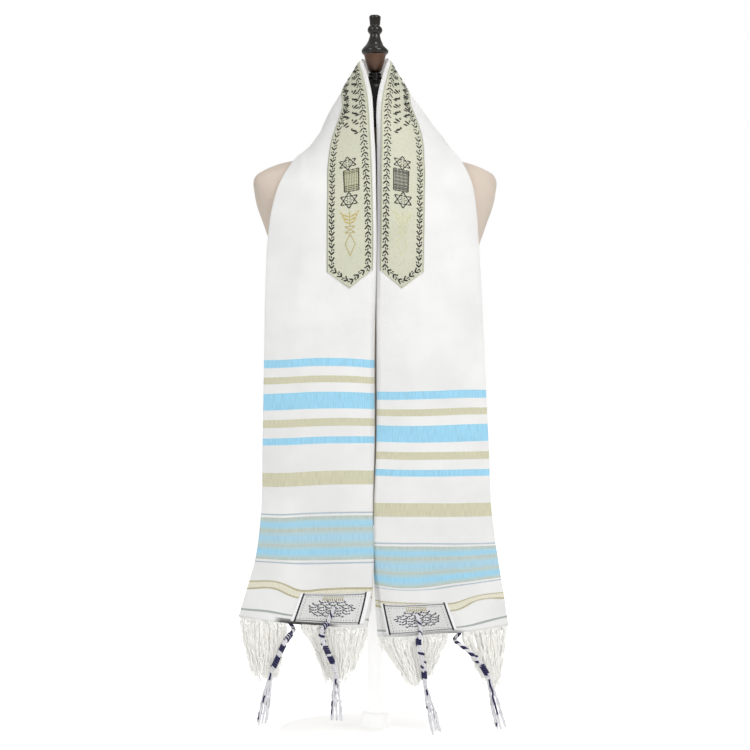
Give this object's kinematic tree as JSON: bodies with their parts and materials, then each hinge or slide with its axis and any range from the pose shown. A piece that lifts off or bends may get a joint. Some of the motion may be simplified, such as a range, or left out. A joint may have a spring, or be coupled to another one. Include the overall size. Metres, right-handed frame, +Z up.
{
  "type": "tallit prayer shawl on dress form",
  "caption": "Striped fringed tallit folded lengthwise in three, worn as a stole round the neck of a limbless dress form on a plate stand",
  "frame": {"origin": "on the floor, at the middle of the stand plate's underside", "axes": "+Z up, -Y is the front of the dress form, +X to the right of someone who faces the front"},
  "size_m": [0.408, 0.3075, 1.12],
  "materials": {
    "shawl_cloth": "woven, matt, with blue and gold stripes",
    "neckband_brocade": "brocade, soft sheen",
    "corner_patch": "jacquard, matt",
    "fringe_yarn": "twisted yarn, matt",
    "corner_cord": "wrapped yarn, white and navy",
    "form_jersey": "knitted jersey, matt",
    "form_neck_black": "black lacquer",
    "finial_wood": "dark lacquer",
    "stand_white": "white powder coat"
  },
  "bodies": {
    "root": {"shawl_cloth": "shawl_cloth", "neckband": "neckband_brocade", "corner_patch_left_front": "corner_patch", "corner_patch_left_rear": "corner_patch", "corner_patch_right_front": "corner_patch", "corner_patch_right_rear": "corner_patch", "fringe_left": "fringe_yarn", "fringe_right": "fringe_yarn", "cord_left_inner": "corner_cord", "cord_left_outer": "corner_cord", "cord_right_inner": "corner_cord", "cord_right_outer": "corner_cord", "form_body": "form_jersey", "form_neck": "form_neck_black", "finial": "finial_wood", "stand_plate": "stand_white", "stand_pole": "stand_white"}
  },
  "joints": []
}
